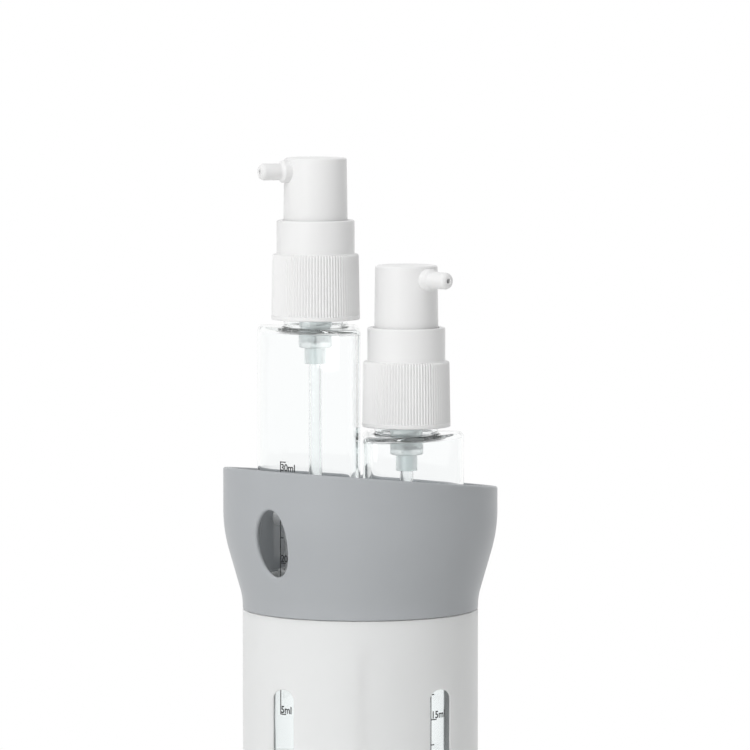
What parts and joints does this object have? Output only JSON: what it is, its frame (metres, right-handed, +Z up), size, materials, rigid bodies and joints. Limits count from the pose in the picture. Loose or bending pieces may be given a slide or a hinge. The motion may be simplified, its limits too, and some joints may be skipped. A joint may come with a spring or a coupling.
{
  "type": "travel dispenser bottle",
  "caption": "Round casing with a turning, flared collar and four quarter-round clear bottles, each with a lotion pump, two of them drawn up.",
  "frame": {"origin": "centre of the foot, on the surface that the casing stands on", "axes": "+Z up along the casing's axis, -Y to the front, where the two drawn-up bottles are"},
  "size_m": [0.0675, 0.0674, 0.2404],
  "materials": {
    "casing_white": "satin white polypropylene",
    "head_grey": "satin grey polypropylene",
    "clear_bottle": "clear glossy PETG",
    "pump_white": "semi-gloss white polypropylene",
    "housing_tint": "pale blue-green translucent polypropylene",
    "tube_clear": "translucent polyethylene",
    "gasket_foam": "closed-cell foam",
    "steel": "bright stainless steel",
    "seal_soft": "soft polyethylene"
  },
  "bodies": {
    "casing": {"casing_body": "casing_white"},
    "head": {"head_collar": "head_grey"},
    "bottle_1": {"bottle_1": "clear_bottle"},
    "pump_1": {"pump_housing_1": "housing_tint", "housing_cap_1": "pump_white", "neck_gasket_1": "gasket_foam", "dip_tube_1": "tube_clear", "check_ball_1": "steel", "return_spring_1": "steel"},
    "closure_1": {"closure_1": "pump_white"},
    "stem_1": {"pump_stem_1": "pump_white", "piston_seal_1": "seal_soft"},
    "actuator_1": {"actuator_1": "pump_white"},
    "bottle_2": {"bottle_2": "clear_bottle"},
    "pump_2": {"pump_housing_2": "housing_tint", "housing_cap_2": "pump_white", "neck_gasket_2": "gasket_foam", "dip_tube_2": "tube_clear", "check_ball_2": "steel", "return_spring_2": "steel"},
    "closure_2": {"closure_2": "pump_white"},
    "stem_2": {"pump_stem_2": "pump_white", "piston_seal_2": "seal_soft"},
    "actuator_2": {"actuator_2": "pump_white"},
    "bottle_3": {"bottle_3": "clear_bottle"},
    "pump_3": {"pump_housing_3": "housing_tint", "housing_cap_3": "pump_white", "neck_gasket_3": "gasket_foam", "dip_tube_3": "tube_clear", "check_ball_3": "steel", "return_spring_3": "steel"},
    "closure_3": {"closure_3": "pump_white"},
    "stem_3": {"pump_stem_3": "pump_white", "piston_seal_3": "seal_soft"},
    "actuator_3": {"actuator_3": "pump_white"},
    "bottle_4": {"bottle_4": "clear_bottle"},
    "pump_4": {"pump_housing_4": "housing_tint", "housing_cap_4": "pump_white", "neck_gasket_4": "gasket_foam", "dip_tube_4": "tube_clear", "check_ball_4": "steel", "return_spring_4": "steel"},
    "closure_4": {"closure_4": "pump_white"},
    "stem_4": {"pump_stem_4": "pump_white", "piston_seal_4": "seal_soft"},
    "actuator_4": {"actuator_4": "pump_white"}
  },
  "joints": [
    {"name": "head_turn", "type": "hinge", "parent": "casing", "child": "head", "pos_m": [0, 0, 0.129], "axis": [0, 0, 1], "continuous": true},
    {"name": "bottle_1_lift", "type": "slide", "parent": "casing", "child": "bottle_1", "axis": [0, 0, 1], "range_m": [-0.0877, 0.0773]},
    {"name": "pump_1_rise", "type": "slide", "parent": "bottle_1", "child": "pump_1", "axis": [0, 0, 1], "range_m": [0, 0.00476]},
    {"name": "closure_1_turn", "type": "hinge", "parent": "pump_1", "child": "closure_1", "pos_m": [-0.01105, -0.01105, 0.20105], "axis": [0, 0, 1], "range_deg": [0, 540]},
    {"name": "pump_1_press", "type": "slide", "parent": "pump_1", "child": "stem_1", "axis": [0, 0, 1], "range_m": [-0.004, 0], "stiffness_N_per_m": 1500, "springref_m": 0.004, "deforming": ["return_spring_1"]},
    {"name": "actuator_1_swivel", "type": "hinge", "parent": "stem_1", "child": "actuator_1", "pos_m": [-0.01105, -0.01105, 0.2371], "axis": [0, 0, 1], "range_deg": [-54, 96]},
    {"name": "bottle_2_lift", "type": "slide", "parent": "casing", "child": "bottle_2", "axis": [0, 0, 1], "range_m": [-0.0615, 0.1035]},
    {"name": "pump_2_rise", "type": "slide", "parent": "bottle_2", "child": "pump_2", "axis": [0, 0, 1], "range_m": [0, 0.00476]},
    {"name": "closure_2_turn", "type": "hinge", "parent": "pump_2", "child": "closure_2", "pos_m": [0.01105, -0.01105, 0.17485], "axis": [0, 0, 1], "range_deg": [0, 540]},
    {"name": "pump_2_press", "type": "slide", "parent": "pump_2", "child": "stem_2", "axis": [0, 0, 1], "range_m": [-0.004, 0], "stiffness_N_per_m": 1500, "springref_m": 0.004, "deforming": ["return_spring_2"]},
    {"name": "actuator_2_swivel", "type": "hinge", "parent": "stem_2", "child": "actuator_2", "pos_m": [0.01105, -0.01105, 0.2109], "axis": [0, 0, 1], "range_deg": [-72, 78]},
    {"name": "bottle_3_lift", "type": "slide", "parent": "casing", "child": "bottle_3", "axis": [0, 0, 1], "range_m": [0, 0.165]},
    {"name": "pump_3_rise", "type": "slide", "parent": "bottle_3", "child": "pump_3", "axis": [0, 0, 1], "range_m": [0, 0.00476]},
    {"name": "closure_3_turn", "type": "hinge", "parent": "pump_3", "child": "closure_3", "pos_m": [0.01105, 0.01105, 0.11335], "axis": [0, 0, 1], "range_deg": [0, 540]},
    {"name": "pump_3_press", "type": "slide", "parent": "pump_3", "child": "stem_3", "axis": [0, 0, 1], "range_m": [-0.004, 0], "stiffness_N_per_m": 1500, "springref_m": 0.004, "deforming": ["return_spring_3"]},
    {"name": "actuator_3_swivel", "type": "hinge", "parent": "stem_3", "child": "actuator_3", "pos_m": [0.01105, 0.01105, 0.1494], "axis": [0, 0, 1], "range_deg": [-75, 75]},
    {"name": "bottle_4_lift", "type": "slide", "parent": "casing", "child": "bottle_4", "axis": [0, 0, 1], "range_m": [0, 0.165]},
    {"name": "pump_4_rise", "type": "slide", "parent": "bottle_4", "child": "pump_4", "axis": [0, 0, 1], "range_m": [0, 0.00476]},
    {"name": "closure_4_turn", "type": "hinge", "parent": "pump_4", "child": "closure_4", "pos_m": [-0.01105, 0.01105, 0.11335], "axis": [0, 0, 1], "range_deg": [0, 540]},
    {"name": "pump_4_press", "type": "slide", "parent": "pump_4", "child": "stem_4", "axis": [0, 0, 1], "range_m": [-0.004, 0], "stiffness_N_per_m": 1500, "springref_m": 0.004, "deforming": ["return_spring_4"]},
    {"name": "actuator_4_swivel", "type": "hinge", "parent": "stem_4", "child": "actuator_4", "pos_m": [-0.01105, 0.01105, 0.1494], "axis": [0, 0, 1], "range_deg": [-75, 75]}
  ],
  "couplings": [
    {"joint": "closure_1_turn", "follows": "pump_1_rise", "rad_per_m": 1979},
    {"joint": "closure_2_turn", "follows": "pump_2_rise", "rad_per_m": 1979},
    {"joint": "closure_3_turn", "follows": "pump_3_rise", "rad_per_m": 1979},
    {"joint": "closure_4_turn", "follows": "pump_4_rise", "rad_per_m": 1979}
  ]
}
